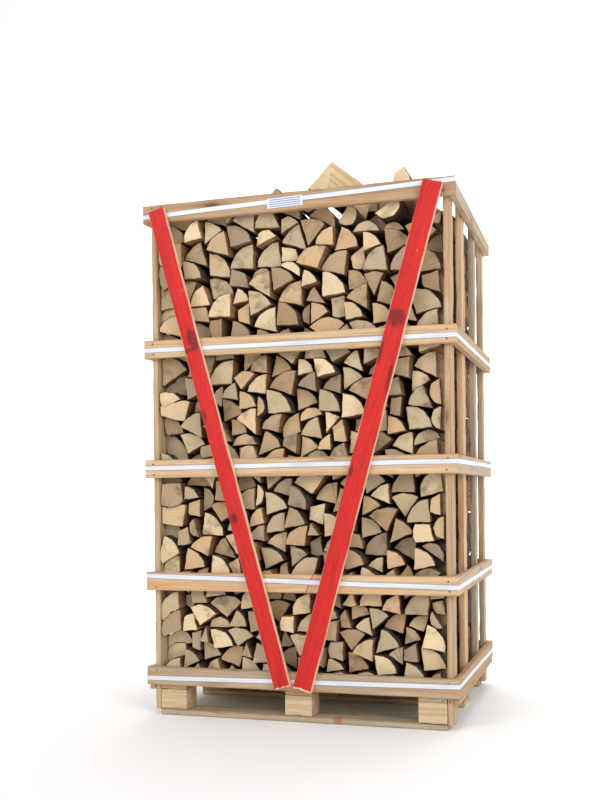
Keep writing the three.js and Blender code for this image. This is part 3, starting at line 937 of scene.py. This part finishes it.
def row_of_logs(name, loops, facing, ends, far, replaced, rings=6):
    """Logs from their end outlines: facing is the way their ends show, -1 front and 1 back."""
    shape = Shape()
    axes = np.array([[1, 0, 0], [0, 0, 1], [0, -facing, 0]], float)
    for corners, begin in zip(loops, ends):
        length = abs(begin - far) - random.uniform(0, SHORTER_BY)
        add_log(shape, corners, (0, begin, 0), axes, length, rings)
    fit_to_part(shape.piece(name, log_finishes, LOG_SHARP), [replaced])


def uneven_ends(count, outermost, spread):
    """Where the ends of a hidden row's logs are, most of them near the outermost place."""
    return outermost - np.sign(outermost) * spread * random.random(count) ** 1.7


def is_stacked(corners):
    """Whether a log is one of the stack, and not one that was laid on top of it."""
    left, right = corners[:, 0].min(), corners[:, 0].max()
    inside = [top for start, end, top in OTHER_TOPS if start <= left and right <= end]
    highest = inside[0] if inside else max(top for _, _, top in OTHER_TOPS)
    return corners[:, 1].max() <= highest


front_depths, front_loops = zip(*front_outlines("firewood_front_row"))
row_of_logs("front_row_logs", front_loops, -1, front_depths, -LOG_ENDS, "firewood_front_row")

stacked = [corners for corners in front_loops if is_stacked(corners)]
back_ends = uneven_ends(len(stacked), ROW_PITCH + ROW_HALF, BACK_SPREAD)
row_of_logs("back_row_logs", stacked, 1, back_ends, LOG_ENDS, "firewood_back_row")

# The middle row is the same stack turned round, and has logs of its own on top
turned = [(corners * (-1, 1))[::-1] for corners in stacked]
for left, section in MIDDLE_TOP_LOGS:
    section = np.array(section, float) + (left, 0)
    below = [c[:, 1].max() for c in turned if c[:, 0].min() < section[1, 0] and c[:, 0].max() > left]
    turned.append(section + (0, max(below) + LOG_SHRINK))
middle_ends = uneven_ends(len(turned), -ROW_HALF, MIDDLE_SPREAD)
row_of_logs("middle_row_logs", turned, -1, middle_ends, MIDDLE_LOG_ENDS, "firewood_middle_row", 3)


# How far below a log on top its pith is
PITH_BELOW = 60


def single_log(name, node, bark_way, tone):
    """A log on top, along the longest side of its CAD solid. Its bark is on the side that faces the bark's
    way, given as right and up as seen from its near end."""
    corners = points_of(node)[0]
    along = np.linalg.svd(corners - corners.mean(0))[2][0]
    along = along * np.sign(along[1])
    place = (corners - corners.mean(0)) @ along
    near_end = corners[place < 0]
    side = np.cross(along, (0, 0, 1.0))
    side /= np.linalg.norm(side)
    up = np.cross(side, along)
    origin = near_end.mean(0)
    flat = np.c_[(near_end - origin) @ side, (near_end - origin) @ up]
    flat = flat[np.argsort(np.arctan2(flat[:, 1], flat[:, 0]))]
    way = np.roll(flat, -1, 0) - flat
    out = np.c_[way[:, 1], -way[:, 0]]
    bark = np.zeros(len(flat), bool)
    bark[np.argmax(out @ np.array(bark_way))] = True
    pith = flat.mean(0) - (0, PITH_BELOW)
    shape = Shape()
    add_log(shape, flat, origin, [side, up, along], float(np.ptp(place)), 9, (bark, pith), tone)
    fit_to_part(shape.piece(name, top_log_finishes, LOG_SHARP), [node])


single_log("big_log_on_top", "big_top_log", (0, -1), (1.0, 0.1, 0.0))
single_log("small_log_on_top", "small_top_log", (1, 0), (1.0, 0.3, 0.0))


# Nails and strap seals

STEEL_SHARP = 30

# The worn faces of the rails, where nail heads stand
RAIL_FACE = 599.7
FRONT_FACE = 499.7

# Nail heads: their radius, the points round them, how wide and how far out each of their rings is, how far
# they are from a board's edge and a rail's end, how far they stray, how far beside a red board's middle line
# they are, and how far its worn face lies inside its solid
NAIL_RADIUS = 3.4
NAIL_RIM = 10
NAIL_RINGS = ((1, -1), (1, 0.15), (0.75, 0.4))
NAIL_INSET = 15
NAIL_FROM_END = 36
FRONT_STRAY = 4
SIDE_STRAY = 5
RED_BESIDE = 14
RED_WORN = 0.5
ROWS = ("bottom", "lower", "middle", "upper", "top")


def nail_heads(name, places, finish):
    """Round heads that stand a little out of the wood, each from its middle and the way that it faces."""
    shape = Shape()
    for middle, out in places:
        out = np.array(out, float)
        side = np.cross(out, (0, 0, 1.0))
        turns = 2 * math.pi * np.arange(NAIL_RIM) / NAIL_RIM + random.uniform(0, 1)
        round_it = np.outer(np.cos(turns), side) + np.outer(np.sin(turns), (0, 0, 1.0))
        middle = np.array(middle)
        rings = [middle + round_it * NAIL_RADIUS * wide + out * lift for wide, lift in NAIL_RINGS]
        faces = [face[::-1] for face in tube_faces(len(rings), NAIL_RIM)]
        faces.append([2 * NAIL_RIM + i for i in range(NAIL_RIM)])
        points = np.concatenate(rings)
        shape.add(points, faces, [0] * len(faces), points, (0, 0, 0), np.zeros(len(points)))
    fit_to_part(shape.piece(name, [finish], STEEL_SHARP))


# Seals: half their length and height, their straps and how far back they are, and how far out the crimps are
SEAL_HALF = (15, 12.2)
SEAL_PLACES = (("lower_strap", 94), ("upper_strap", -22))
SEAL_FACE = 600
SEAL_LIFTS = (0.80, 0.94, 0.86, 0.94, 0.86, 0.94, 0.80)


def strap_seals():
    """Crimped plates round the straps, on the right side of the crate."""
    shape = Shape()
    half_y, half_z = SEAL_HALF
    places = np.linspace(-half_y, half_y, len(SEAL_LIFTS))
    for node, y in SEAL_PLACES:
        middle = strap_level(points_of(node)[0]) @ (SEAL_FACE, y, 1)
        ribs = zip(y + places, SEAL_FACE + np.array(SEAL_LIFTS))
        points = np.array([(x, back, middle + b) for back, x in ribs for b in (-half_z, half_z)])
        faces = [[2 * i, 2 * i + 2, 2 * i + 3, 2 * i + 1] for i in range(len(places) - 1)]
        shape.add(points, faces, [0] * len(faces), points, (0, 0, 0), np.zeros(len(points)))
    fit_to_part(shape.piece("strap_seals", [seal_steel], STEEL_SHARP))


def box_corners(node):
    return [np.array(corner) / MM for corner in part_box(node)]


seal_steel = steel("seal_steel", linear(236, 238, 242), linear(206, 210, 216), 0.25)
strap_seals()
nail_steel = steel("nail_steel", linear(112, 100, 92), linear(64, 54, 48), 0.6)
painted_steel = steel("painted_steel", linear(168, 40, 34), linear(128, 34, 30), 0.1)
crate_nails = []
posts = [box_corners(f"right_post_{i}") for i in (1, 2, 3, 4)]
for row in ROWS:
    low, high = box_corners(f"{row}_right_rail")
    for z in (low[2] + NAIL_INSET, high[2] - NAIL_INSET):
        for side in (-1, 1):
            for face in (-1, 1):
                spot = random.uniform(-FRONT_STRAY, FRONT_STRAY, 2)
                x = side * (RAIL_FACE - NAIL_FROM_END) + spot[0]
                crate_nails.append(((x, face * FRONT_FACE, z + spot[1]), (0, face, 0)))
            for post_low, post_high in posts:
                spot = random.uniform(-SIDE_STRAY, SIDE_STRAY, 2)
                y = (post_low[1] + post_high[1]) / 2 + spot[0]
                crate_nails.append(((side * RAIL_FACE, y, z + spot[1]), (side, 0, 0)))
nail_heads("crate_nails", crate_nails, nail_steel)

red_nails = []
for node in RED_MARKS:
    corners, foot, head = slanting_board(node)
    front = corners[:, 1].min() + RED_WORN
    for row in ROWS:
        low, high = box_corners(f"{row}_front_rail")
        for z, beside in ((low[2] + NAIL_INSET, -RED_BESIDE), (high[2] - NAIL_INSET, RED_BESIDE)):
            z = min(max(z, foot[2] + NAIL_INSET), head[2] - NAIL_INSET)
            place = foot + (head - foot) * (z - foot[2]) / (head[2] - foot[2])
            red_nails.append(((place[0] + beside, front, z), (0, -1, 0)))
nail_heads("red_board_nails", red_nails, painted_steel)


# Studio, in metres

FLOOR_HALF = 16
BEND_FROM = 5
BEND = 3
WALL_TOP = 14
WORLD_LIGHT = 0.75


def studio():
    """A pale floor that curves up behind the crate."""
    bend = np.radians(np.arange(7.5, 91, 7.5))
    profile = [(-FLOOR_HALF, 0), (BEND_FROM, 0)]
    profile += [(BEND_FROM + BEND * math.sin(a), BEND - BEND * math.cos(a)) for a in bend]
    profile += [(BEND_FROM + BEND, WALL_TOP)]
    points = [(x, y, z) for x in (-FLOOR_HALF, FLOOR_HALF) for y, z in profile]
    size = len(profile)
    faces = [[i, i + 1, size + i + 1, size + i][::-1] for i in range(size - 1)]
    mesh = bpy.data.meshes.new("studio_floor")
    mesh.from_pydata(points, [], faces)
    mesh.materials.append(studio_floor())
    mesh.polygons.foreach_set("use_smooth", [True] * len(faces))
    floor = bpy.data.objects.new("studio_floor", mesh)
    bpy.context.scene.collection.objects.link(floor)
    return floor


def area_light(name, place, aim, size, power):
    data = bpy.data.lights.new(name, "AREA")
    data.shape = "DISK"
    data.size = size
    data.energy = power
    lamp = bpy.data.objects.new(name, data)
    lamp.location = place
    lamp.rotation_euler = (Vector(aim) - Vector(place)).to_track_quat("-Z", "Y").to_euler()
    bpy.context.scene.collection.objects.link(lamp)


studio()
area_light("key", (-2.6, -5.8, 4.2), (0, 0, 1.0), 3.0, 110)
area_light("fill", (4.6, -4.6, 3.0), (0, 0, 0.9), 3.5, 150)
area_light("backdrop_light", (0, 2.4, 6.5), (0, 8, 2.2), 4.0, 500)

world = bpy.data.worlds.new("studio")
world.use_nodes = True
world.node_tree.nodes["Background"].inputs[0].default_value = (1, 1, 1, 1)
world.node_tree.nodes["Background"].inputs[1].default_value = WORLD_LIGHT
bpy.context.scene.world = world

view = bpy.context.scene.view_settings
view.view_transform = "Standard"
view.look = "None"

lens = bpy.data.cameras.new("camera")
lens.lens = CAMERA_LENS
lens.sensor_width = CAMERA_SENSOR
lens.shift_y = CAMERA_SHIFT
lens.clip_end = 100
camera = bpy.data.objects.new("camera", lens)
camera.location = [value * MM for value in CAMERA_PLACE]
camera.rotation_euler = (
    Matrix.Rotation(math.radians(CAMERA_TURN), 3, "Z")
    @ Matrix.Rotation(math.radians(90), 3, "X")
    @ Matrix.Rotation(math.radians(CAMERA_ROLL), 3, "Z")
).to_euler()
bpy.context.scene.collection.objects.link(camera)
bpy.context.scene.camera = camera
